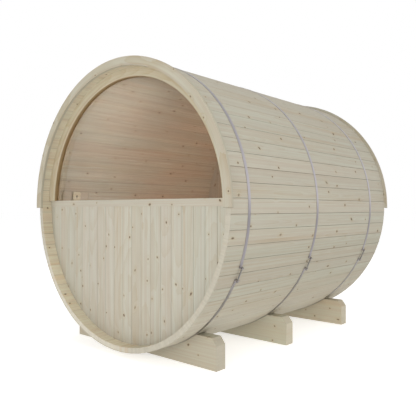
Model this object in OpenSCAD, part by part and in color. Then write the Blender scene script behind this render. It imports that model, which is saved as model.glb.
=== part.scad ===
// Barrel-shaped sauna cabin: a staved drum on three cradles, with a half-moon window in the
// front end and a plank door in the rear end. Millimetres, +Z up, front end towards -Y.
// The origin is on the ground, under the middle of the drum.

/* [Drum] */
// Radius of the drum over the corners of its staves
barrel_r = 960; // [800:10:1100]
// Length of the staves
stave_len = 2090; // [1900:10:3000]
// Thickness of a stave
stave_t = 36; // [28:1:46]
// Number of staves round the drum, in whole groups
stave_count = 68; // [51:17:85]
// Radius of the bead along a stave's edge, and of the cove that takes it
bead_r = 9; // [6:0.5:11]
// How far the bead stands out of the stave's edge
bead_out = 5; // [3:0.5:6]
// Joint gap between two staves
stave_gap = 0.4; // [0.2:0.1:0.8]
// Eased corner along the outer edges of a stave
stave_ease = 2.2; // [0.5:0.1:3]

/* [Cradles] */
// Length of a cradle across the drum
cradle_len = 1400; // [1100:10:1600]
// Thickness of a cradle along the drum
cradle_t = 84; // [60:2:120]
// Height of a cradle
cradle_h = 197; // [160:1:260]
// Timber left under the drum at the middle of a cradle
cradle_under = 34; // [20:1:60]
// Width of the corner cut at a cradle's top ends
cradle_cut_w = 34; // [10:1:60]
// Height of the corner cut at a cradle's top ends
cradle_cut_h = 44; // [10:1:80]
// Front faces of the three cradles, measured from the front ends of the staves
cradle_front = 187; // [150:1:260]
// Front face of the middle cradle
cradle_middle = 963; // [800:1:1200]
// Front face of the rear cradle
cradle_rear = 1820; // [1500:1:1850]

/* [Bands] */
// Width of a steel band
band_w = 24; // [16:1:40]
// Thickness of a steel band
band_t = 1.5; // [1:0.1:3]
// Distance from a band's centre line to the front face of its cradle
band_ahead = 19; // [16:1:40]
// Angle of the band's tension gap below the horizontal, on the right side
tension_angle = 23.8; // [15:0.1:35]
// Length of the tension gap between the band's ends
tension_gap = 74; // [50:1:110]
// Height of a lug above the band
lug_h = 21; // [16:1:30]
// Thickness of a lug
lug_t = 4; // [3:0.5:6]
// Length of a lug's foot along the band
lug_foot = 26; // [16:1:40]
// Thickness of a lug's foot
lug_foot_t = 2; // [1:0.5:3]
// Diameter of the tension bolt
bolt_d = 8; // [6:1:10]
// Height of the bolt's centre line over the band
bolt_rise = 12.5; // [11:0.5:14]
// Width of the bolt's head and nut over their corners
bolt_head_w = 14.4; // [12:0.1:18]
// Height of the bolt's head and nut
bolt_head_h = 5.6; // [4:0.1:8]
// Thread left past the nut
bolt_end = 4; // [1:1:12]

/* [End arches] */
// Thickness of the arched board over each end
arch_t = 18; // [12:1:30]
// Height of the arched board's edge above the staves
arch_over = 18; // [8:1:30]
// How far the arched board's feet reach below the drum's centre line
arch_drop = 9; // [0:1:40]
// How far the arched board's inner edge stands in from the staves' inner faces
arch_lip = 3; // [0:0.5:8]

/* [End walls] */
// Depth from the stave ends to the frame and sill of an end wall
wall_in = 77; // [60:1:120]
// Thickness of the frame and the sill
frame_t = 40; // [36:1:60]
// Thickness of the upright boards
board_t = 30; // [22:1:34]
// Covering width of an upright board
board_w = 93.5; // [80:0.5:140]
// Gap between two boards
board_gap = 0.4; // [0.2:0.1:0.8]
// Width of the vee along the boards' front edges
board_vee = 1.6; // [1:0.1:4]
// Reach of a board's tongue
tongue_reach = 6; // [4:0.5:9]
// Thickness of a board's tongue
tongue_t = 9; // [6:0.5:11]
// Depth of the groove round the staves that holds an end wall
croze_depth = 11; // [6:0.5:14]
// Clearance of parts that sit in a groove
fit_gap = 0.4; // [0.2:0.1:0.6]
// Height of the sill rail under the window
sill_h = 46; // [35:1:80]

/* [Half-moon window] */
// Width of the window frame at its top
window_rim = 58; // [45:1:90]
// Height of the window circle's centre above the drum's centre line
window_up = 15; // [5:1:25]
// Thickness of the trim ring in front of the frame
trim_t = 22; // [12:1:30]
// Bevel of the trim's inner edge, across the ring
trim_bevel_w = 7; // [3:1:14]
// Bevel of the trim's inner edge, along the drum
trim_bevel_d = 7; // [3:1:14]
// Thickness of the glass pane
glass_t = 6; // [4:1:10]
// Depth of the glass behind the frame's front face
glass_in = 9; // [7:1:12]
// How deep the glass sits in its groove
glass_bite = 10; // [6:1:14]
// Thickness of the frame's lip behind the glass
frame_lip = 5; // [4:1:10]
// Height of the frame over the staves behind that lip
frame_back = 14; // [8:1:30]

/* [Door] */
// Width of the opening for the door and its frame
door_open_w = 700; // [600:5:760]
// Height of the wall left over the door opening, and under it
door_wall_h = 104; // [80:2:220]
// Width of the door frame's members
jamb_w = 40; // [30:1:60]
// Depth of the door frame
jamb_t = 60; // [45:1:80]
// Gap round the door leaf
leaf_gap = 3; // [2:0.5:6]
// Reach of the door stop behind the leaf, past the frame
stop_reach = 12; // [8:1:18]
// Number of boards in the door leaf
leaf_boards = 7; // [5:1:9]
// Thickness of the leaf's boards
leaf_t = 26; // [20:1:32]
// Height of a ledge across the leaf
ledge_h = 90; // [60:5:140]
// Thickness of a ledge
ledge_t = 20; // [12:1:26]
// Distance of the ledges from the leaf's top and bottom
ledge_in = 180; // [80:10:300]
// Distance of a ledge's ends from the leaf's sides
ledge_short = 20; // [16:1:60]
// Length of the door pull
pull_len = 300; // [200:10:400]
// Thickness of the door pull
pull_t = 28; // [20:1:36]
// Diameter of the door pull's posts
pull_post_d = 22; // [14:1:26]
// Clear space behind the door pull
pull_clear = 34; // [25:1:50]
// Distance of the pull from the leaf's edge
pull_in = 70; // [50:5:120]
// Height of a hinge
hinge_h = 90; // [60:5:120]
// Diameter of a hinge's knuckle
hinge_d = 12; // [8:1:16]
// Width of a hinge's leaf plate
hinge_leaf_w = 28; // [18:1:36]
// Thickness of a hinge's leaf plate
hinge_leaf_t = 2; // [1:0.5:4]

/* [Air vent] */
// Length of the vent's sliding board, on the inside of the left wall
vent_len = 250; // [150:10:400]
// Height of the sliding board
vent_h = 78; // [70:1:82]
// Thickness of the sliding board
vent_t = 8; // [5:1:14]
// Distance from the front wall to the nearer end of the sliding board
vent_from_wall = 58; // [20:1:200]
// Height of the board's centre above the drum's centre line, to the nearest stave
vent_rise = 91; // [60:1:300]
// Side of the square grip on the middle of the sliding board
grip_side = 70; // [50:1:70]
// Thickness of the grip
grip_t = 15; // [8:1:25]
// Diameter of the finger hole in the grip
grip_hole_d = 16; // [8:1:24]

/* [Hidden] */
$fn = 96;
facets = 180;
fine_facets = 360;
seat_gap = 0.3;
eps = 0.01;
over = 1;
groups = 17;
per_group = stave_count / groups;
pitch = 360 / stave_count;
stave_out = barrel_r * cos(pitch / 2);
stave_in = stave_out - stave_t;
stave_mid = stave_out - stave_t / 2;
side_slope = tan(pitch / 2);
y_front = -stave_len / 2;
y_back = stave_len / 2;
axis_z = barrel_r + seat_gap + cradle_under;
croze_r = stave_in / cos(pitch / 2) + croze_depth;
croze_w = board_t + 2 * fit_gap;
wall_r = croze_r - fit_gap;
inner_r = stave_in - seat_gap;
board_in = wall_in + (frame_t - board_t) / 2;
cradle_fronts = [cradle_front, cradle_middle, cradle_rear];
arch_r = barrel_r + arch_over;
arch_hole_r = stave_in - arch_lip;
tip_gap = tension_gap / 2 / barrel_r * 180 / PI;
band_in = barrel_r;
band_out = band_in + band_t;
bolt_up = band_out + bolt_rise;
window_r = inner_r - window_rim - window_up;
door_half_h = wall_r - door_wall_h;
half_count = floor(wall_r / board_w + 0.5);
third = floor(half_count / 3);
door_w2 = door_open_w / 2;
leaf_w = door_open_w - 2 * (jamb_w + leaf_gap + fit_gap);
leaf_h = 2 * (door_half_h - jamb_w - leaf_gap - fit_gap);
leaf_board_w = leaf_w / leaf_boards;
door_y = y_back - wall_in - frame_t / 2 + jamb_t / 2;
ledge_rise = leaf_h / 2 - ledge_in - ledge_h / 2;
vent_stave = round((180 - asin(vent_rise / inner_r)) / pitch);
vent_y = y_front + wall_in + frame_t + vent_from_wall + vent_len / 2;

// Extrudes an outline drawn in X and Z round the drum's axis, from y0 to y1.
module along_drum(y0, y1) {
    translate([0, y1, axis_z]) rotate([90, 0, 0]) linear_extrude(y1 - y0) children();
}

// A stave's cross-section, lying on +X: a trapezium with a bead on one edge and a cove on the other.
module stave_outline() {
    bead_c = [stave_mid, stave_mid * side_slope - (bead_r - bead_out)];
    bead_a = atan2(bead_c[1], bead_c[0]) - pitch;
    bead_rad = norm(bead_c);
    half_in = stave_in * side_slope - stave_gap / 2;
    half_low = (stave_out - stave_ease) * side_slope - stave_gap / 2;
    half_out = stave_out * side_slope - stave_gap / 2 - stave_ease;
    difference() {
        union() {
            polygon([[stave_in, -half_in], [stave_out - stave_ease, -half_low], [stave_out, -half_out],
                [stave_out, half_out], [stave_out - stave_ease, half_low], [stave_in, half_in]]);
            translate(bead_c) circle(bead_r);
        }
        translate([bead_rad * cos(bead_a), bead_rad * sin(bead_a)]) circle(bead_r + stave_gap);
    }
}

// One group of neighbouring staves, each grooved near both ends for the end walls.
module stave_group(g) {
    color("burlywood")
    for (i = [0 : per_group - 1])
        difference() {
            along_drum(y_front, y_back) rotate((g * per_group + i) * pitch) stave_outline();
            for (y = [y_front + board_in, y_back - board_in - board_t])
                along_drum(y - fit_gap, y + croze_w - fit_gap) circle(croze_r, $fn = facets);
        }
}

// A saddle beam with a hollow for the drum and cut top corners.
module cradle(k) {
    half = cradle_len / 2;
    y0 = y_front + cradle_fronts[k];
    color("burlywood")
    difference() {
        translate([0, y0 + cradle_t, 0]) rotate([90, 0, 0]) linear_extrude(cradle_t)
            polygon([[-half, 0], [half, 0], [half, cradle_h - cradle_cut_h],
                [half - cradle_cut_w, cradle_h], [cradle_cut_w - half, cradle_h],
                [-half, cradle_h - cradle_cut_h]]);
        along_drum(y0 - over, y0 + cradle_t + over) circle(barrel_r + seat_gap, $fn = fine_facets);
    }
}

// A pie slice of the plane from angle a to angle b, wide enough for the drum.
module slice(a, b) {
    far = 2 * barrel_r;
    mid = (a + b) / 2;
    polygon([[0, 0], far * [cos(a), sin(a)], far * [cos(mid), sin(mid)], far * [cos(b), sin(b)]]);
}

// A half-plane above a height over the drum's centre line.
module above(h) {
    translate([-2 * barrel_r, h]) square(4 * barrel_r);
}

// Where the band of cradle k starts along the drum.
function band_y(k) = y_front + cradle_fronts[k] - band_ahead - band_w / 2;

// A lug at one end of the band, on +X, seen along the drum: its upright and its foot on the band.
module lug_outline(side) {
    root = band_in + band_t / 2;
    translate([root, side > 0 ? 0 : -lug_t]) square([lug_h + band_t / 2, lug_t]);
    translate([root, side > 0 ? 0 : -lug_foot]) square([lug_foot_t + band_t / 2, lug_foot]);
}

// A steel band with a gap, and a folded lug with a bolt hole at each of its ends.
module band(k) {
    y0 = band_y(k);
    color("silver")
    difference() {
        along_drum(y0, y0 + band_w) {
            difference() {
                circle(band_out, $fn = fine_facets);
                circle(band_in, $fn = fine_facets);
                slice(-tension_angle - tip_gap, -tension_angle + tip_gap);
            }
            for (side = [-1, 1])
                rotate(-tension_angle + side * tip_gap) lug_outline(side);
        }
        bolt_line(y0 + band_w / 2, tension_gap + lug_foot, bolt_d / 2 + seat_gap);
    }
}

// A cylinder on the tension bolt's centre line.
module bolt_line(y, len, r) {
    translate([0, y, axis_z]) rotate([0, tension_angle, 0]) translate([bolt_up, 0, 0])
        cylinder(r = r, h = len, center = true);
}

// The tension bolt with its hexagon head and nut outside the two lugs.
module tension_bolt(k) {
    y = band_y(k) + band_w / 2;
    head_in = bolt_up * tan(tip_gap) + lug_t + seat_gap;
    color("silver")
    union() {
        bolt_line(y, 2 * (head_in + bolt_head_h + bolt_end), bolt_d / 2);
        for (side = [-1, 1])
            translate([0, y, axis_z]) rotate([0, tension_angle, 0])
                translate([bolt_up, 0, side * (head_in + bolt_head_h / 2)])
                    cylinder(d = bolt_head_w, h = bolt_head_h, center = true, $fn = 6);
    }
}

// The arched board over the upper half of one end.
module arch(y0) {
    color("wheat")
    along_drum(y0, y0 + arch_t)
        intersection() {
            above(-arch_drop);
            difference() {
                circle(arch_r, $fn = fine_facets);
                circle(arch_hole_r, $fn = fine_facets);
            }
        }
}

// The plan of one upright board: a tongue on its right edge, a groove in its left, vees in front.
// The board's front face is at y = 0 and its back at y = board_t.
module board_plan(w, t, vee) {
    half = w / 2 - board_gap / 2;
    slot_t = tongue_t + 2 * board_gap;
    difference() {
        union() {
            polygon([[-half, vee], [vee - half, 0], [half - vee, 0], [half, vee], [half, t], [-half, t]]);
            translate([half - eps, (t - tongue_t) / 2]) square([tongue_reach + eps, tongue_t]);
        }
        translate([-half - eps, (t - slot_t) / 2])
            square([tongue_reach + 2 * board_gap + eps, slot_t]);
    }
}

// The disc of an end wall that is held in the groove round the staves.
module wall_disc(y0, y1) {
    along_drum(y0, y1) circle(wall_r, $fn = facets);
}

// Upright boards number a to b of the front wall, from the groove up into the sill.
module front_boards(a, b) {
    y0 = y_front + board_in;
    color("wheat")
    for (k = [a : b])
        intersection() {
            translate([k * board_w, y0, axis_z - wall_r])
                linear_extrude(wall_r + glass_bite - fit_gap) board_plan(board_w, board_t, board_vee);
            wall_disc(y0 - over, y0 + board_t + over);
        }
}

// The rail under the window: grooved below for the boards and above for the glass.
module front_sill() {
    y0 = y_front + wall_in;
    glass_y = y0 + glass_in;
    color("wheat")
    difference() {
        union() {
            intersection() {
                translate([-inner_r, y0, axis_z]) cube([2 * inner_r, frame_t, sill_h]);
                along_drum(y0, y0 + frame_t) circle(inner_r, $fn = facets);
            }
            intersection() {
                translate([-wall_r, y_front + board_in, axis_z]) cube([2 * wall_r, board_t, sill_h]);
                wall_disc(y0, y0 + frame_t);
            }
        }
        translate([-barrel_r, y_front + board_in - fit_gap, axis_z - over])
            cube([2 * barrel_r, board_t + 2 * fit_gap, glass_bite + over]);
        translate([-window_r - glass_bite, glass_y - fit_gap, axis_z + sill_h - glass_bite])
            cube([2 * (window_r + glass_bite), glass_t + 2 * fit_gap, glass_bite + over]);
    }
}

// The half-round frame that closes the wall round the glass, tongued into the staves.
module window_frame() {
    y0 = y_front + wall_in;
    y1 = y_front + board_in + board_t;
    glass_y = y0 + glass_in;
    lip_y = glass_y + glass_t + fit_gap + frame_lip;
    foot = sill_h + seat_gap;
    color("wheat")
    difference() {
        union() {
            along_drum(y0, y1) intersection() { circle(inner_r, $fn = facets); above(foot); }
            along_drum(y_front + board_in, y1) intersection() { circle(wall_r, $fn = facets); above(foot); }
        }
        along_drum(y0 - over, y1) translate([0, window_up]) circle(window_r, $fn = facets);
        along_drum(glass_y - fit_gap, glass_y + glass_t + fit_gap)
            translate([0, window_up]) circle(window_r + glass_bite, $fn = facets);
        along_drum(lip_y, y1 + over) circle(inner_r - frame_back, $fn = facets);
    }
}

// The bevelled trim ring in front of the window frame.
module window_trim() {
    y1 = y_front + wall_in - seat_gap;
    y0 = y1 - trim_t;
    foot = sill_h + seat_gap;
    color("wheat")
    difference() {
        along_drum(y0, y1)
            difference() {
                intersection() { circle(inner_r, $fn = facets); above(foot); }
                translate([0, window_up]) circle(window_r, $fn = facets);
            }
        translate([0, y0, axis_z + window_up]) rotate([90, 0, 0]) mirror([0, 0, 1])
            cylinder(r1 = window_r + trim_bevel_w, r2 = window_r, h = trim_bevel_d, $fn = facets);
    }
}

// The half-moon pane in the grooves of the frame and the sill.
module window_glass() {
    y0 = y_front + wall_in + glass_in;
    color([0.62, 0.52, 0.42, 0.4])
    along_drum(y0, y0 + glass_t)
        intersection() {
            translate([0, window_up]) circle(window_r + glass_bite - fit_gap, $fn = facets);
            above(sill_h - glass_bite + fit_gap);
        }
}

// Upright boards of the rear wall, seen from outside, cut away round the door opening.
// Keeps what lies in the box from x0 to x1 and from z0 to z1 about the drum's axis.
module rear_boards(x0, x1, z0, z1) {
    y1 = y_back - board_in;
    color("wheat")
    for (k = [-half_count : half_count])
        if ((k + 0.5) * board_w + tongue_reach > x0 && (k - 0.5) * board_w < x1)
            intersection() {
                translate([k * board_w, y1, axis_z - wall_r]) mirror([0, 1, 0])
                    linear_extrude(2 * wall_r) board_plan(board_w, board_t, board_vee);
                wall_disc(y1 - board_t - over, y1 + over);
                translate([x0, y1 - board_t - over, axis_z + z0])
                    cube([x1 - x0, board_t + 2 * over, z1 - z0]);
            }
}

// A rectangular ring of outer half sizes w and h, and of the given width.
module ring(w, h, width) {
    difference() {
        translate([-w, -h]) square([2 * w, 2 * h]);
        translate([-w + width, -h + width]) square(2 * [w - width, h - width]);
    }
}

// The four members round the door, with a stop that the leaf closes against.
module door_frame() {
    w = door_open_w / 2 - fit_gap;
    h = door_half_h - fit_gap;
    color("wheat")
    union() {
        along_drum(door_y - jamb_t, door_y) ring(w, h, jamb_w);
        along_drum(door_y - jamb_t, door_y - leaf_t - seat_gap) ring(w, h, jamb_w + stop_reach);
    }
}

// The upright boards of the door leaf.
module door_leaf() {
    color("wheat")
    for (k = [0 : leaf_boards - 1])
        intersection() {
            translate([-leaf_w / 2 + (k + 0.5) * leaf_board_w, door_y, axis_z - leaf_h / 2])
                mirror([0, 1, 0]) linear_extrude(leaf_h) board_plan(leaf_board_w, leaf_t, board_vee);
            translate([-leaf_w / 2, door_y - 2 * leaf_t, axis_z - leaf_h])
                cube([leaf_w, 3 * leaf_t, 2 * leaf_h]);
        }
}

// The two ledges across the inside of the leaf.
module door_ledges() {
    color("wheat")
    for (z = [-ledge_rise, ledge_rise])
        translate([ledge_short - leaf_w / 2, door_y - leaf_t - seat_gap - ledge_t,
            axis_z + z - ledge_h / 2])
            cube([leaf_w - 2 * ledge_short, ledge_t, ledge_h]);
}

// One upright pull on two stand-offs: y is the face that it stands on and side its direction.
module door_pull(y, side) {
    x = leaf_w / 2 - pull_in;
    translate([x, y, axis_z]) rotate([side > 0 ? 0 : 180, 0, 0])
        union() {
            translate([-pull_t / 2, pull_clear, -pull_len / 2]) cube([pull_t, pull_t, pull_len]);
            for (z = [-1, 1])
                translate([0, 0, z * (pull_len / 2 - pull_t)]) rotate([-90, 0, 0])
                    cylinder(d = pull_post_d, h = pull_clear + pull_t / 2);
        }
}

// The pulls outside and inside, level with the middle of the leaf.
module door_pulls() {
    color("tan")
    union() {
        door_pull(door_y + seat_gap, 1);
        door_pull(door_y - leaf_t - seat_gap, -1);
    }
}

// Two hinges on the outside, over the joint between the leaf and the left jamb.
module door_hinges() {
    x = -leaf_w / 2 - leaf_gap / 2;
    plate_y = door_y + seat_gap;
    color("silver")
    for (z = [-ledge_rise, ledge_rise])
        translate([x, 0, axis_z + z - hinge_h / 2])
            union() {
                translate([0, plate_y + hinge_d / 2, 0]) cylinder(d = hinge_d, h = hinge_h);
                translate([-hinge_leaf_w, plate_y, 0]) cube([2 * hinge_leaf_w, hinge_leaf_t, hinge_h]);
            }
}

// The air vent's sliding board with its square grip, on the flat inner face of one stave.
module vent_cover() {
    grip_in = inner_r - vent_t - grip_t;
    color("wheat")
    translate([0, vent_y, axis_z]) rotate([0, -vent_stave * pitch, 0])
        difference() {
            union() {
                translate([inner_r - vent_t, -vent_len / 2, -vent_h / 2])
                    cube([vent_t, vent_len, vent_h]);
                translate([grip_in, -grip_side / 2, -grip_side / 2])
                    cube([grip_t + vent_t / 2, grip_side, grip_side]);
            }
            translate([grip_in - over, 0, 0]) rotate([0, 90, 0])
                cylinder(d = grip_hole_d, h = grip_t / 2 + over);
        }
}

stave_group(0);  // staves_01
stave_group(1);  // staves_02
stave_group(2);  // staves_03
stave_group(3);  // staves_04
stave_group(4);  // staves_05
stave_group(5);  // staves_06
stave_group(6);  // staves_07
stave_group(7);  // staves_08
stave_group(8);  // staves_09
stave_group(9);  // staves_10
stave_group(10);  // staves_11
stave_group(11);  // staves_12
stave_group(12);  // staves_13
stave_group(13);  // staves_14
stave_group(14);  // staves_15
stave_group(15);  // staves_16
stave_group(16);  // staves_17
cradle(0);  // cradle_front
cradle(1);  // cradle_middle
cradle(2);  // cradle_rear
band(0);  // band_front
band(1);  // band_middle
band(2);  // band_rear
tension_bolt(0);  // tension_bolt_front
tension_bolt(1);  // tension_bolt_middle
tension_bolt(2);  // tension_bolt_rear
arch(y_front - seat_gap - arch_t);  // arch_front
arch(y_back + seat_gap);  // arch_rear
front_boards(-half_count, -third - 1);  // front_boards_left
front_boards(-third, third);  // front_boards_centre
front_boards(third + 1, half_count);  // front_boards_right
front_sill();
window_frame();
window_trim();
window_glass();
rear_boards(-wall_r, -door_w2, -wall_r, wall_r);  // rear_boards_left
rear_boards(door_w2, wall_r, -wall_r, wall_r);  // rear_boards_right
rear_boards(-door_w2 + seat_gap, door_w2 - seat_gap, door_half_h, wall_r);  // rear_boards_over_door
rear_boards(-door_w2 + seat_gap, door_w2 - seat_gap, -wall_r, -door_half_h);  // rear_boards_under_door
door_frame();
door_leaf();
door_ledges();
door_pulls();
door_hinges();
vent_cover();
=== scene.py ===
import math

import bmesh
import bpy
from mathutils import Matrix, Vector


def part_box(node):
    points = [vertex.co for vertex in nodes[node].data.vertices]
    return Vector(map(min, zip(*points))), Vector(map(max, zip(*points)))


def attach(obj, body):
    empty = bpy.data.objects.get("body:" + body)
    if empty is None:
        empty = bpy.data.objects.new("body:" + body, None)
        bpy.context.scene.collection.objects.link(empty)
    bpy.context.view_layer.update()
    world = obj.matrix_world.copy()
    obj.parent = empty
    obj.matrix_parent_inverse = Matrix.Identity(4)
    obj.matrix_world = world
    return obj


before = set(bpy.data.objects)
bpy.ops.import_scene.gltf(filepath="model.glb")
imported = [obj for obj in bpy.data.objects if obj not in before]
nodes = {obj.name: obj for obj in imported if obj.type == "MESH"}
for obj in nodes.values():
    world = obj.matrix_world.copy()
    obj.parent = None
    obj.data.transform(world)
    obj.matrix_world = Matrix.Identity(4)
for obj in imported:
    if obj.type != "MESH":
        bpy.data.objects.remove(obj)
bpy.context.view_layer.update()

# Sizes of the CAD model that the looks follow, in metres. Past LIP_Y, the staves stand out over the
# end walls.
MM = 0.001
band_low, band_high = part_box("band_front")
AXIS_Z = (band_low.z + band_high.z) / 2
STAVE_COUNT = 68
PITCH = math.tau / STAVE_COUNT
BARREL_R = 960 * MM
STAVE_W = BARREL_R * PITCH
STAVE_T = 36 * MM
LIP_Y = 955 * MM
BOARD_W = 93.5 * MM
LEAF_BOARDS = 7
leaf_low, leaf_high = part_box("door_leaf")
LEAF_BOARD_W = (leaf_high.x - leaf_low.x) / LEAF_BOARDS
WINDOW_UP = 15 * MM
WINDOW_R = 849.7 * MM
TRIM_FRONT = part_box("window_trim")[0].y
VENT_HALF = 125 * MM
GRIP_HALF = 35 * MM
BAND_T = 1.5 * MM
LUG_FOOT_T = 2.0 * MM
HINGE_H = 90 * MM
HINGE_PLATE_T = 2.0 * MM
LEDGE_H = 90 * MM

# Sizes that only the looks have, in metres.
RING_GAP = 3.4 * MM
KNOT_SMALL = 4.1 * MM
KNOT_MORE = 3.6 * MM
KNOT_PUSH = 17.0 * MM
HINGE_SCREW_R = 3.6 * MM
LEDGE_SCREW_R = 3.8 * MM

# Colours as linear red, green and blue.
WHITE = (1.0, 1.0, 1.0)
FLOOR_WHITE = (0.90, 0.90, 0.90)
STAVE_WOOD = (0.506, 0.480, 0.408)
BOARD_WOOD = (0.518, 0.493, 0.424)
ARCH_WOOD = (0.490, 0.455, 0.376)
TRIM_WOOD = (0.530, 0.465, 0.348)
CRADLE_WOOD = (0.505, 0.470, 0.386)
VENT_WOOD = (0.520, 0.475, 0.385)
PULL_WOOD = (0.400, 0.300, 0.200)
# Dark joints; the same colour is painted shade on the vent's board and at the arches' feet.
SEAM_AND_SHADE = (0.155, 0.130, 0.095)
KNOT_RING = (0.310, 0.225, 0.146)
KNOT_CORE = (0.132, 0.092, 0.060)
BAND_STEEL = (0.515, 0.485, 0.512)
BOLT_STEEL = (0.385, 0.375, 0.365)
GLASS = (0.600, 0.500, 0.400)
WIPED_GLASS = tuple(0.97 * c for c in GLASS)
COOL_LIGHT = (0.715, 0.815, 1.000)
WARM_LIGHT = (1.000, 0.800, 0.750)

# Tints, which multiply a colour. The last seven are painted light and shade.
PINK_TINT = (1.014, 0.990, 0.978)
YELLOW_TINT = (1.004, 0.998, 0.966)
GREEN_TINT = (0.988, 1.003, 0.990)
PALE_STREAK = (0.985, 1.010, 1.000)
ROSY_STREAK = (1.000, 0.952, 0.918)
LATE_TINT = (0.880, 0.810, 0.700)
HEART_TINT = (0.960, 0.870, 0.790)
KNOT_HALO = (1.005, 0.955, 0.860)
END_TINT = (1.060, 1.040, 1.000)
RIM_LIGHT_TINT = (1.220, 1.175, 1.085)
LIP_LIGHT_TINT = (1.235, 1.240, 1.255)
LOW_SHADE_TINT = (0.890, 0.885, 0.865)
REVEAL_SHADE_TINT = (0.700, 0.530, 0.350)
CRADLE_LIGHT_TINT = (1.155, 1.150, 1.130)
GRIP_LIGHT_TINT = (1.340, 1.400, 1.320)
LOW_STEEL_SHADE = (0.760, 0.760, 0.700)

# The camera was solved from the photograph, which is 416 pixels wide and high.
IMAGE_PX = 416.0
FOCAL_PX = 505.41
CAMERA_SPOT = (2.6553, -3.1745, 0.9821)
CAMERA_TILT = 0.00052
CAMERA_TURN = 0.71767

# Light: how the floor glows to the camera and to the object, how strong the world is, and the lamps
# by name, each with its size in metres, its watts, its place, what it faces and its colour.
FLOOR_TO_CAMERA = 0.55
FLOOR_TO_OBJECT = 0.50
WORLD_LIGHT = 0.50
DRUM_MIDDLE = (0.0, 0.0, AXIS_Z)
LAMPS = {
    "key": (3.0, 60.0, (2.7, -5.6, 1.6), DRUM_MIDDLE, WHITE),
    "left": (3.0, 36.0, (-2.2, -5.8, 1.6), DRUM_MIDDLE, WHITE),
    "right": (3.0, 38.0, (5.8, -0.8, 4.2), DRUM_MIDDLE, WHITE),
    "rear": (3.0, 60.0, (-4.0, 4.5, 2.6), DRUM_MIDDLE, WHITE),
    "above": (4.0, 60.0, (2.2, -0.8, 5.5), DRUM_MIDDLE, WHITE),
    "inside_front": (0.36, 12.5, (0.05, -0.71, 1.34), (-0.9, -0.76, 1.36), COOL_LIGHT),
    "inside_rear": (0.6, 10.5, (0.3, 0.25, 0.8), (-0.6, 0.93, 1.35), WARM_LIGHT),
}


class Field:
    """A value at each point of a surface, with sums and products as a number has."""

    def __init__(self, tree, socket):
        self.tree = tree
        self.socket = socket

    def math(self, operation, *others):
        node = self.tree.nodes.new("ShaderNodeMath")
        node.operation = operation
        for slot, value in zip(node.inputs, (self,) + others):
            feed(slot, value)
        return Field(self.tree, node.outputs[0])

    def __add__(self, other):
        return self.math("ADD", other)

    def __sub__(self, other):
        return self.math("SUBTRACT", other)

    def __mul__(self, other):
        return self.math("MULTIPLY", other)

    def __truediv__(self, other):
        return self.math("DIVIDE", other)

    def __abs__(self):
        return self.math("ABSOLUTE")

    def rounded(self):
        return self.math("ROUND")

    def sign(self):
        return self.math("SIGN")

    def power(self, exponent):
        return self.math("POWER", exponent)

    def larger(self, other):
        return self.math("MAXIMUM", other)

    def inverse(self):
        """One minus the value, which turns a mask round."""
        return self * -1.0 + 1.0

    def band(self, low, high, start=0.0, end=1.0):
        """Goes smoothly from start to end as the value goes from low to high."""
        node = self.tree.nodes.new("ShaderNodeMapRange")
        node.interpolation_type = "SMOOTHSTEP"
        for slot, value in zip(node.inputs, (self, low, high, start, end)):
            feed(slot, value)
        return Field(self.tree, node.outputs[0])


def feed(slot, value):
    """Gives a node's input a field, a number or a colour."""
    if isinstance(value, Field):
        value.tree.links.new(value.socket, slot)
    elif isinstance(value, tuple) and len(slot.default_value) == 4:
        slot.default_value = (*value, 1.0)
    else:
        slot.default_value = value


def point(x, y, z):
    """A vector field from three fields or numbers, at least one of them a field."""
    tree = next(v.tree for v in (x, y, z) if isinstance(v, Field))
    node = tree.nodes.new("ShaderNodeCombineXYZ")
    for slot, value in zip(node.inputs, (x, y, z)):
        feed(slot, value)
    return Field(tree, node.outputs[0])


def parts_of(vector):
    """The three fields of a vector or a colour field."""
    node = vector.tree.nodes.new("ShaderNodeSeparateXYZ")
    feed(node.inputs[0], vector)
    return [Field(vector.tree, out) for out in node.outputs]


def place(tree):
    """The point on the object in metres, as x, y and the height over the drum's axis."""
    coordinates = tree.nodes.new("ShaderNodeTexCoord")
    x, y, z = parts_of(Field(tree, coordinates.outputs["Object"]))
    return x, y, z - AXIS_Z


def normal(tree):
    """The surface's normal, as three fields."""
    return parts_of(Field(tree, tree.nodes.new("ShaderNodeTexCoord").outputs["Normal"]))


def distance(x, y):
    """How far a point in a plane is from its origin."""
    return (x * x + y * y).math("SQRT")


def noise(vector, scale=1.0, detail=2.0, roughness=0.5):
    """Smooth noise from about 0.2 to 0.8."""
    node = vector.tree.nodes.new("ShaderNodeTexNoise")
    feed(node.inputs["Vector"], vector)
    feed(node.inputs["Scale"], scale)
    feed(node.inputs["Detail"], detail)
    feed(node.inputs["Roughness"], roughness)
    return Field(vector.tree, node.outputs["Fac"])


def chance(vector):
    """Three random fields from 0 to 1 that change wherever the vector does."""
    node = vector.tree.nodes.new("ShaderNodeTexWhiteNoise")
    feed(node.inputs["Vector"], vector)
    return parts_of(Field(vector.tree, node.outputs["Color"]))


def scatter(vector):
    """The nearest of a set of scattered points in the plane, and three random fields of its own."""
    node = vector.tree.nodes.new("ShaderNodeTexVoronoi")
    node.voronoi_dimensions = "2D"
    feed(node.inputs["Vector"], vector)
    feed(node.inputs["Scale"], 1.0)
    nearest = Field(vector.tree, node.outputs["Position"])
    return parts_of(nearest), parts_of(Field(vector.tree, node.outputs["Color"]))


def blend(factor, first, second, operation="MIX"):
    """A colour field: first where the factor is 0, and second or their product where it is 1."""
    tree = next(v.tree for v in (factor, first, second) if isinstance(v, Field))
    node = tree.nodes.new("ShaderNodeMix")
    node.data_type = "RGBA"
    node.blend_type = operation
    # The colours are the node's seventh and eighth inputs and its third output.
    feed(node.inputs[0], factor)
    feed(node.inputs[6], first)
    feed(node.inputs[7], second)
    return Field(tree, node.outputs[2])


def times(first, second, factor=1.0):
    """The product of two colours, as far as the factor goes."""
    return blend(factor, first, second, "MULTIPLY")


def grey(value):
    """A colour field that is grey by the value."""
    return point(value, value, value)


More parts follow.
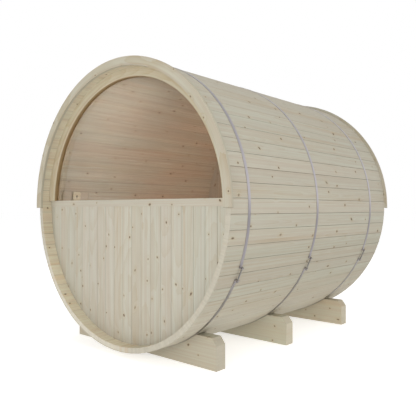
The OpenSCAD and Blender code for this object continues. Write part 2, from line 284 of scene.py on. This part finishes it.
def ray_masks(tree, *kinds):
    """For each kind of ray, a field that is 1 where such a ray looks."""
    path = tree.nodes.new("ShaderNodeLightPath")
    return [Field(tree, path.outputs["Is %s Ray" % kind]) for kind in kinds]


def material(name):
    """A new material, its node tree and its shader."""
    made = bpy.data.materials.new(name)
    made.use_nodes = True
    return made, made.node_tree, made.node_tree.nodes["Principled BSDF"]


def bump(tree, shader, height, distance_m, strength):
    """Gives the shader's normal the relief of a height field."""
    node = tree.nodes.new("ShaderNodeBump")
    feed(node.inputs["Strength"], strength)
    feed(node.inputs["Distance"], distance_m)
    feed(node.inputs["Height"], height)
    tree.links.new(node.outputs["Normal"], shader.inputs["Normal"])


def board_at(along, across, depth, number, end=None, width=0.0, seam=0.0, **more):
    """What wood() needs to know of the board at each point.

    Along, across and depth say where the point is in the board, number tells boards apart, and end
    is 1 on end grain. Width is the board's, or 0 where it has no joints, and seam how dark the joints
    are. More can give rim, a mask of the staves' inner lip, which gets painted light; knot, the knots'
    size; streaky, a mask of stronger streaks, with around, the way round the drum; and tinted and
    painted, lists of a colour and a mask, which paint light and shade on the wood.
    """
    return {"along": along, "across": across, "depth": depth, "number": number,
            "end": along * 0.0 if end is None else end, "width": width, "seam": seam,
            "rim": 0.0, "knot": 1.0, "tinted": [], "painted": [], **more}


def stave_board(tree):
    """Staves run along Y, side by side round the drum. Their joints show most on the drum's sides."""
    x, y, z = place(tree)
    turn = z.math("ARCTAN2", x) / PITCH
    number = turn.rounded()
    joint = chance(point(turn.math("FLOOR"), 0.5, 0.5))[0]
    open_side = abs(z - 0.06).band(0.30, 0.62, 1.0, 0.10)
    radius = distance(x, z)
    inside = radius.band(BARREL_R - 0.8 * STAVE_T, BARREL_R - 0.6 * STAVE_T, 1.0, 0.0)
    outside = radius.band(BARREL_R - 0.25 * STAVE_T, BARREL_R - 0.10 * STAVE_T)
    # The inside of the lip past the end walls, which wood() brightens with painted light.
    rim = abs(y).band(LIP_Y, LIP_Y + 10.0 * MM) * inside
    # Painted shade on the outside of the drum's lower side.
    shaded_low_side = z.band(-0.28, -0.18, 1.0, 0.0) * z.band(-0.74, -0.60) * outside
    # Painted light on the front of the lip, low on the left.
    front_lip = y.band(-LIP_Y - 10.0 * MM, -LIP_Y, 1.0, 0.0) * outside.inverse()
    lit_low_left = z.band(-0.50, -0.18, 1.0, 0.0) * x.band(-0.10, 0.25, 1.0, 0.0)
    return board_at(
        y, (turn - number) * STAVE_W, radius - BARREL_R, number, abs(normal(tree)[1]), STAVE_W,
        open_side.larger(inside * 0.5) * (joint * 0.45 + 0.40), rim=rim, knot=1.20,
        streaky=inside - rim * 0.75, around=turn * STAVE_W,
        tinted=[(LOW_SHADE_TINT, shaded_low_side), (LIP_LIGHT_TINT, front_lip * lit_low_left)])


def upright_board(width=BOARD_W, shift=0.0, salt=101.0, seam=0.5):
    """Upright boards stand side by side along X."""
    def board_of(tree):
        x, y, z = place(tree)
        turn = x / width + shift
        number = turn.rounded()
        joint = chance(point(turn.math("FLOOR"), y.sign(), salt))[0]
        return board_at(z, (turn - number) * width, y, number + y.sign() * salt,
                        abs(normal(tree)[2]), width, joint * seam + seam * 0.5)
    return board_of


def rail_board(tree):
    """Rails and beams run along X. Each has its own grain by where it lies."""
    x, y, z = place(tree)
    row = (y * 3.0).rounded()
    number = row + (z * 2.0).rounded() * 7.0 + 303.0
    return board_at(x, z, y - row / 3.0, number, abs(normal(tree)[0]))


def cradle_board(tree):
    """The cradles. The two behind the front one are brightened with painted light."""
    board = rail_board(tree)
    # Painted light on the cradles behind the front one.
    board["tinted"] = [(CRADLE_LIGHT_TINT, place(tree)[1].band(-0.6, -0.5))]
    return board


def vent_board(tree):
    """The vent's sliding board: painted light on its grip, and painted shade in the finger hole, beside
    the grip and at the far end.
    """
    x, y, z = place(tree)
    low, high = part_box("vent_cover")
    middle = (low + high) / 2
    off_y, off_z = abs(y - middle.y), abs(z - (middle.z - AXIS_Z))
    grip = off_y.band(GRIP_HALF, GRIP_HALF + 0.5 * MM, 1.0, 0.0)
    hole = distance(off_y, off_z).band(7.0 * MM, 12.0 * MM, 1.0, 0.0)
    near_grip = off_y.band(GRIP_HALF + 7.0 * MM, GRIP_HALF + 11.0 * MM, 0.6, 0.0)
    shade = off_y.band(GRIP_HALF + 0.5 * MM, GRIP_HALF + 1.0 * MM) * near_grip
    far_end_shade = (y - middle.y).band(VENT_HALF - 7.0 * MM, VENT_HALF - 4.0 * MM) * 0.5
    # Painted light on the grip; painted shade in the hole, beside the grip and at the far end.
    return board_at(y, z, x, x * 0.0 + 707.0, width=2.0, tinted=[(GRIP_LIGHT_TINT, grip)],
                    painted=[(SEAM_AND_SHADE, hole.larger(shade.larger(far_end_shade)) * 0.8)])


def frame_board(tree):
    """The door frame: its uprights run along Z and its rails along X."""
    x, y, z = place(tree)
    rail_z = leaf_high.z - AXIS_Z
    upright = abs(z).band(rail_z, rail_z + 0.1 * MM, 1.0, 0.0)
    rail = upright.inverse()
    number = x.sign() * upright * 5.0 + z.sign() * rail * 9.0 + 404.0
    return board_at(z * upright + x * rail, x * upright + z * rail, y, number)


def bent_board(tree):
    """Curved pieces have their grain along the curve."""
    x, y, z = place(tree)
    number = (y * 9.0).rounded() + 505.0
    return board_at(z.math("ARCTAN2", x) * BARREL_R, distance(x, z) - BARREL_R, y, number)


def window_board(tree):
    """The window's frame and trim, with painted shade on the reveal that the pane stands in, strongest
    deep in it.
    """
    board = bent_board(tree)
    x, y, z = place(tree)
    # Painted shade on the reveal, three quarters strong at the front and full deeper in.
    reveal = distance(x, z - WINDOW_UP).band(WINDOW_R + 0.4 * MM, WINDOW_R + 1.2 * MM, 1.0, 0.0)
    deep = y.band(TRIM_FRONT + 8.0 * MM, TRIM_FRONT + 20.0 * MM, 0.75, 1.0)
    board["tinted"] = [(REVEAL_SHADE_TINT, reveal * deep)]
    return board


def arch_board(tree):
    """The arches, with a dark joint line where their feet end, deepened with painted shade."""
    board = bent_board(tree)
    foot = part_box("arch_front")[0].z - AXIS_Z
    # Painted shade in the joint at the arches' feet.
    board["painted"] = [(SEAM_AND_SHADE, place(tree)[2].band(foot, foot + 5.0 * MM, 0.5, 0.0))]
    return board


def knots(board, spacing, share):
    """Knots scattered along a board, round or drawn out: masks, and their push on the grain."""
    number = board["number"]
    row = board["width"] or STAVE_W
    cell_along = board["along"] / spacing + number * 7.37
    cell_across = board["across"] / row + number * 13.0 + 0.5
    near, luck = scatter(point(cell_along, cell_across, 0.0))
    more_luck = chance(point(near[0], near[1], 0.5))
    away_along = (cell_along - near[0]) * spacing
    away_across = (cell_across - near[1]) * row
    lean = (more_luck[0] - 0.5) * 1.4
    lengthwise = away_along * lean.math("COSINE") + away_across * lean.math("SINE")
    crosswise = away_across * lean.math("COSINE") - away_along * lean.math("SINE")
    drawn = more_luck[1].power(5.0) + 1.20
    reach = distance(lengthwise / drawn, crosswise)
    size = (luck[0].power(2.0) * KNOT_MORE + KNOT_SMALL) * board["knot"]
    there = luck[1].band(share, share + 0.01, 1.0, 0.0)
    wobble = noise(point(board["along"], board["across"], number), 150.0) * 1.2 + 0.4
    inside = reach * wobble / size
    force = more_luck[2].band(0.05, 0.55, 0.55, 1.0) * there
    return {"core": inside.band(0.50, 1.05, 1.0, 0.0) * force,
            "ring": inside.band(0.85, 1.45, 1.0, 0.0) * force,
            "halo": inside.band(1.20, 4.20, 1.0, 0.0) * there,
            "push": (reach * reach * -1.0 / KNOT_PUSH ** 2).math("EXPONENT") * there}


def grain(board, push):
    """Growth rings and streaks: late wood, soft streaks, heartwood, fibres and the board's luck.

    The factors of along, across and depth are how often a pattern changes in a metre that way.
    """
    along, across, depth, number = (board[key] for key in ("along", "across", "depth", "number"))
    luck = chance(point(number, number * 0.37, 0.5))
    drift = noise(point(along * 0.8, number * 3.1, 0.0), detail=1.0) * (40.0 * MM)
    wave = noise(point(along * 4.0, across * 20.0, number)) * (3.0 * MM)
    side = across - (luck[0] - 0.5) * (80.0 * MM)
    deep = depth + luck[1] * (30.0 * MM) + 55.0 * MM
    ring = ((distance(side, deep) + drift + wave + push * (4.0 * MM)) / RING_GAP).math("FRACT")
    return {"luck": luck, "late": ring.power(2.2),
            "streak": noise(point(across * 95.0, along * 0.7, number * 2.3), detail=3.0, roughness=0.6),
            "cloud": noise(point(across * 30.0, along * 7.0, number * 3.3), detail=3.0, roughness=0.6),
            "heart": noise(point(across * 24.0, along * 0.45, number * 4.7)),
            "fibre": noise(point(across * 800.0, along * 10.0, number * 5.1), roughness=0.6),
            "end": noise(point(across * 260.0, depth * 260.0, number))}


def grained(colour, cut, face, contrast):
    """The colour with the board's own tint, its growth rings, streaks and heartwood."""
    luck = cut["luck"]
    warm = blend(luck[1], PINK_TINT, YELLOW_TINT)
    tint = blend(luck[2].band(0.45, 0.85), warm, GREEN_TINT)
    value = (luck[0] - 0.5) * 0.04 * face + (cut["streak"] - 0.5) * contrast * 0.22 + 1.0
    value = value + (cut["cloud"] - 0.5) * 0.10 + (cut["fibre"] - 0.5) * 0.10
    base = times(times(colour, tint, face), grey(value))
    base = times(base, blend(cut["streak"].band(0.36, 0.62), ROSY_STREAK, PALE_STREAK), face * contrast)
    base = times(base, LATE_TINT, cut["late"] * contrast * 0.42)
    return times(base, HEART_TINT, cut["heart"].band(0.52, 0.66) * luck[1].band(0.3, 0.9) * 0.75)


def streaked(base, board):
    """The long streaks and rosy patches that cross the joints on the drum's inside."""
    along, around, streaky = board["along"], board["around"], board["streaky"]
    streak = noise(point(around * 26.0, along * 0.9, 4.0), detail=4.0, roughness=0.65)
    patch = noise(point(around * 7.0, along * 1.6, 9.0), detail=2.0)
    base = times(base, grey((streak - 0.5) * 0.44 + 1.0), streaky)
    return times(base, blend(patch.band(0.38, 0.62), ROSY_STREAK, PALE_STREAK), streaky)


def knotted(base, knot, face):
    """The colour with knots: a soft halo, a brown ring and a dark core."""
    base = times(base, KNOT_HALO, knot["halo"] * 0.55 * face)
    base = blend(knot["ring"] * 0.70 * face, base, KNOT_RING)
    return blend(knot["core"] * 0.90 * face, base, KNOT_CORE)


def wood(name, board_of, colour, knot_spacing=0.42, knot_share=0.45, contrast=1.0):
    """Planed softwood: grain, knots, a tint for each board, darker joints, end grain, and painted light
    and shade.
    """
    made, tree, shader = material(name)
    board = board_of(tree)
    knot = knots(board, knot_spacing, knot_share)
    cut = grain(board, knot["push"])
    face = board["end"].band(0.5, 0.8, 1.0, 0.0)
    if "streaky" in board:
        base = grained(colour, cut, face, board["streaky"] * 0.8 + contrast)
        base = streaked(base, board)
    else:
        base = grained(colour, cut, face, contrast)
    base = times(base, END_TINT, face.inverse() * cut["end"].band(0.35, 0.65, 0.4, 1.0))
    # Painted light on the staves' inner lip.
    base = times(base, RIM_LIGHT_TINT, face * board["rim"])
    base = knotted(base, knot, face)
    if board["width"]:
        half = board["width"] / 2
        edge = abs(board["across"]).band(half - 2.0 * MM, half - 0.6 * MM)
        base = blend(edge * face * board["seam"], base, SEAM_AND_SHADE)
    # Painted light and shade from the board's tinted and painted lists.
    for tone, amount in board["tinted"]:
        base = times(base, tone, amount)
    for tone, amount in board["painted"]:
        base = blend(amount, base, tone)
    feed(shader.inputs["Base Color"], base)
    feed(shader.inputs["Roughness"], cut["late"] * -0.10 + 0.68)
    feed(shader.inputs["Specular IOR Level"], 0.32)
    relief = cut["fibre"] * 0.7 - cut["late"] - knot["ring"] * 0.4
    bump(tree, shader, relief, 0.2 * MM, 0.5)
    return made


def steel(name, colour, roughness, scratches):
    """Stainless steel with fine lines along the strip, and painted shade low down on the drum."""
    made, tree, shader = material(name)
    x, y, z = place(tree)
    turn = z.math("ARCTAN2", x) * BARREL_R
    lines = noise(point(turn * 3.0, y * scratches, 0.0), detail=3.0, roughness=0.6)
    patch = noise(point(x, y, z), 6.0)
    tone = grey(lines * 0.20 + patch * 0.14 + 0.83)
    # Painted shade low down on the drum.
    shaded_low_down = z.band(-0.54, -0.42, 1.0, 0.0)
    feed(shader.inputs["Metallic"], 1.0)
    feed(shader.inputs["Base Color"], times(times(colour, tone), LOW_STEEL_SHADE, shaded_low_down))
    feed(shader.inputs["Roughness"], lines * 0.12 + patch * 0.06 + roughness)
    bump(tree, shader, lines, 0.04 * MM, 0.4)
    return made


def tinted_glass(name):
    """The bronze pane, a little darker where it was wiped."""
    made, tree, shader = material(name)
    x, y, z = place(tree)
    wiped = noise(point(x * 3.0, y, z * 5.0), detail=3.0)
    feed(shader.inputs["Base Color"], blend(wiped.band(0.3, 0.7), GLASS, WIPED_GLASS))
    feed(shader.inputs["Transmission Weight"], 1.0)
    feed(shader.inputs["Roughness"], 0.0)
    feed(shader.inputs["IOR"], 1.45)
    return made


def dress(names, finish):
    """Gives CAD nodes their material."""
    for name in names:
        mesh = nodes[name].data
        mesh.materials.clear()
        mesh.materials.append(finish)


def named(*starts):
    """The names of the CAD nodes that start so."""
    return [name for name in nodes if name.startswith(starts)]


def piece(name, mesh_of, finish):
    """Makes a piece that rides on the object, from a function that fills a bmesh."""
    mesh = bpy.data.meshes.new(name)
    shape = bmesh.new()
    mesh_of(shape)
    bmesh.ops.recalc_face_normals(shape, faces=shape.faces)
    shape.to_mesh(mesh)
    shape.free()
    mesh.materials.append(finish)
    made = bpy.data.objects.new(name, mesh)
    bpy.context.scene.collection.objects.link(made)
    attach(made, "root")


def turned(shape, profile, placing, sides=20):
    """Adds a closed turned body round Z from a profile of radius and height, put in place by a matrix."""
    rings = []
    for radius, height in profile:
        ring = [shape.verts.new(placing @ Vector((radius * math.cos(a), radius * math.sin(a), height)))
                for a in (math.tau * k / sides for k in range(sides))]
        rings.append(ring)
    for low, high in zip(rings, rings[1:]):
        for k in range(sides):
            shape.faces.new((low[k], low[k - 1], high[k - 1], high[k]))
    shape.faces.new(rings[0])
    shape.faces.new(rings[-1])


def facing(spot, out):
    """Places a body at a spot with its Z pointing out."""
    return Matrix.Translation(spot) @ Vector(out).to_track_quat("Z", "Y").to_matrix().to_4x4()


def bolt_line(name):
    """A tension bolt's centre, its direction and the direction out of the drum."""
    low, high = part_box(name)
    centre = (low + high) / 2
    out = Vector((centre.x, 0.0, centre.z - AXIS_Z)).normalized()
    return centre, Vector((-out.z, 0.0, out.x)), out


def thread(name):
    """The rolled thread of a tension bolt, from lug to lug."""
    pitch, core, crest, half, sides = 1.25 * MM, 3.9 * MM, 4.22 * MM, 36.5 * MM, 24
    centre, along, _ = bolt_line(name)
    placing = facing(centre, along)

    def fill(shape):
        steps = int(2 * half / pitch * sides)
        rows = []
        for k in range(steps + 1):
            angle = math.tau * k / sides
            base = -half + pitch * k / sides
            fade = min(1.0, k / sides, (steps - k) / sides)
            rise = core + (crest - core) * fade
            spots = [(core, base), (rise, base + pitch * 0.35)]
            spots += [(rise, base + pitch * 0.55), (core, base + pitch * 0.9)]
            rows.append([shape.verts.new(placing @ Vector((r * math.cos(angle), r * math.sin(angle), z)))
                         for r, z in spots])
        for one, two in zip(rows, rows[1:]):
            for k in range(4):
                shape.faces.new((one[k - 1], two[k - 1], two[k], one[k]))
        shape.faces.new(rows[0])
        shape.faces.new(rows[-1])
    return fill


def rivets(name):
    """Two domed rivets through the foot of each lug at a tension bolt."""
    centre, _, out = bolt_line(name)
    bolt_r = (centre - Vector((0.0, centre.y, AXIS_Z))).length
    foot_r = BARREL_R + BAND_T + LUG_FOOT_T
    start = math.atan2(out.z, out.x)
    dome = [(2.9 * MM, 0.0), (2.8 * MM, 0.5 * MM), (2.2 * MM, 1.0 * MM), (1.1 * MM, 1.35 * MM)]

    def fill(shape):
        for side in (-1, 1):
            for reach, shift in ((49.0 * MM, 6.0 * MM), (56.0 * MM, -6.0 * MM)):
                angle = start + side * reach / bolt_r
                ray = Vector((math.cos(angle), 0.0, math.sin(angle)))
                spot = Vector((0.0, centre.y + shift, AXIS_Z)) + ray * foot_r
                turned(shape, dome, facing(spot, ray))
    return fill


def screw_head(shape, spot, out, radius):
    """A screw head with a sunk middle and a cross over it."""
    rim = [(radius, -0.2 * MM), (radius, 0.1 * MM), (radius * 0.86, 0.35 * MM), (radius * 0.46, 0.35 * MM)]
    placing = facing(spot, out)
    turned(shape, rim + [(radius * 0.30, -0.15 * MM)], placing, 16)
    arm, wide = radius * 0.52, radius * 0.10
    corners = [(-arm, -wide), (arm, -wide), (arm, wide), (-arm, wide)]
    for turn in (0.0, math.pi / 2):
        spin = Matrix.Rotation(turn, 4, "Z")
        top = [shape.verts.new(placing @ spin @ Vector((x, y, 0.40 * MM))) for x, y in corners]
        foot = [shape.verts.new(placing @ spin @ Vector((x * 0.9, y, 0.0))) for x, y in corners]
        shape.faces.new(top)
        shape.faces.new(foot)
        for k in range(4):
            shape.faces.new((top[k], top[k - 1], foot[k - 1], foot[k]))


def hinge_screws(shape):
    """Three screws in each half of both hinges."""
    low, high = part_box("door_hinges")
    middle_x = (low.x + high.x) / 2
    plate_y = low.y + HINGE_PLATE_T
    for bottom in (low.z, high.z - HINGE_H):
        for side in (-1, 1):
            for share in (0.16, 0.5, 0.84):
                spot = Vector((middle_x + side * 18.0 * MM, plate_y, bottom + share * HINGE_H))
                screw_head(shape, spot, (0.0, 1.0, 0.0), HINGE_SCREW_R)


def ledge_screws(shape):
    """Two screws through each ledge into each board of the door leaf."""
    low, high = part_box("door_ledges")
    for bottom in (low.z, high.z - LEDGE_H):
        for k in range(LEAF_BOARDS):
            x = leaf_low.x + (k + 0.5) * LEAF_BOARD_W
            for shift, share in ((-14.0 * MM, 0.28), (14.0 * MM, 0.72)):
                spot = Vector((x + shift, low.y, bottom + share * LEDGE_H))
                screw_head(shape, spot, (0.0, -1.0, 0.0), LEDGE_SCREW_R)


def make_camera():
    """The camera where the photograph's was."""
    camera = bpy.data.cameras.new("camera")
    camera.sensor_width = 36.0
    camera.lens = camera.sensor_width * FOCAL_PX / IMAGE_PX
    holder = bpy.data.objects.new("camera", camera)
    holder.location = CAMERA_SPOT
    holder.rotation_euler = (math.pi / 2 + CAMERA_TILT, 0.0, CAMERA_TURN)
    bpy.context.scene.collection.objects.link(holder)
    bpy.context.scene.camera = holder


def make_floor():
    """A pale floor that sends light up, keeps a soft shadow and is white to the camera."""
    size = 60.0
    mesh = bpy.data.meshes.new("floor")
    corners = [(-size, -size, 0.0), (size, -size, 0.0), (size, size, 0.0), (-size, size, 0.0)]
    mesh.from_pydata(corners, [], [(0, 1, 2, 3)])
    floor = bpy.data.objects.new("floor", mesh)
    bpy.context.scene.collection.objects.link(floor)
    made, tree, shader = material("floor_white")
    feed(shader.inputs["Base Color"], FLOOR_WHITE)
    feed(shader.inputs["Roughness"], 0.9)
    feed(shader.inputs["Specular IOR Level"], 0.0)
    camera, diffuse = ray_masks(tree, "Camera", "Diffuse")
    feed(shader.inputs["Emission Color"], WHITE)
    feed(shader.inputs["Emission Strength"], camera * FLOOR_TO_CAMERA + diffuse * FLOOR_TO_OBJECT)
    mesh.materials.append(made)


def make_world():
    """Even light from all round, a white background, and a dimmer side that the pane mirrors."""
    world = bpy.data.worlds.new("world")
    world.use_nodes = True
    tree = world.node_tree
    background = tree.nodes["Background"]
    feed(background.inputs["Color"], WHITE)
    x, y, z = parts_of(Field(tree, tree.nodes.new("ShaderNodeTexCoord").outputs["Generated"]))
    ceiling = z.band(0.1, 0.9, 1.0, 0.55)
    dim_side = (x * -0.77 - y * 0.64).band(0.75, 0.93, 1.0, 0.45)
    camera, glossy, through = ray_masks(tree, "Camera", "Glossy", "Transmission")
    direct = camera.larger(through)
    lighting = (direct.larger(glossy) - 1.0) * -WORLD_LIGHT
    mirrored = glossy * ceiling * dim_side
    feed(background.inputs["Strength"], direct.larger(mirrored) + lighting)
    bpy.context.scene.world = world


def make_lamp(name, size, watts, spot, target, colour):
    """A square lamp that faces a target, and that no camera or mirror sees."""
    lamp = bpy.data.lights.new(name, "AREA")
    lamp.color = colour
    lamp.size = size
    lamp.energy = watts
    holder = bpy.data.objects.new(name, lamp)
    holder.location = spot
    holder.rotation_euler = (Vector(target) - Vector(spot)).to_track_quat("-Z", "Y").to_euler()
    bpy.context.scene.collection.objects.link(holder)
    holder.visible_camera = False
    holder.visible_glossy = False
    holder.visible_transmission = False


rail_finish = wood("rail_wood", rail_board, BOARD_WOOD, 0.12, 0.88)
bolt_finish = steel("bolt_steel", BOLT_STEEL, 0.35, 300.0)
dress(named("staves_"), wood("stave_wood", stave_board, STAVE_WOOD, 0.36, 0.66, 1.2))
dress(named("front_boards_", "rear_boards_"),
      wood("board_wood", upright_board(seam=0.36), BOARD_WOOD, 0.28, 0.84, 1.15))
dress(["door_leaf"], wood("leaf_wood", upright_board(LEAF_BOARD_W, salt=211.0), BOARD_WOOD, 0.36, 0.7))
dress(["front_sill", "door_ledges"], rail_finish)
dress(["vent_cover"], wood("vent_wood", vent_board, VENT_WOOD, 0.40, 0.0))
dress(named("cradle_"), wood("cradle_wood", cradle_board, CRADLE_WOOD, 0.22, 0.78))
dress(["arch_front", "arch_rear"], wood("arch_wood", arch_board, ARCH_WOOD, 0.24, 0.75, 1.8))
dress(["window_frame", "window_trim"], wood("trim_wood", window_board, TRIM_WOOD, 0.34, 0.50, 1.5))
dress(["door_frame"], wood("frame_wood", frame_board, BOARD_WOOD, 0.50, 0.40))
dress(["door_pulls"], wood("pull_wood", upright_board(0.5, 0.1, 77.0, 0.0), PULL_WOOD, 0.50, 0.05))
dress(named("band_") + ["door_hinges"], steel("band_steel", BAND_STEEL, 0.22, 900.0))
dress(named("tension_bolt_"), bolt_finish)
dress(["window_glass"], tinted_glass("bronze_glass"))

for where in ("front", "middle", "rear"):
    bolt = "tension_bolt_" + where
    piece("bolt_thread_" + where, thread(bolt), bolt_finish)
    piece("lug_rivets_" + where, rivets(bolt), bolt_finish)
piece("hinge_screws", hinge_screws, bolt_finish)
piece("ledge_screws", ledge_screws, bolt_finish)

make_camera()
make_floor()
make_world()
for name, settings in LAMPS.items():
    make_lamp(name, *settings)
bpy.context.scene.view_settings.view_transform = "Standard"
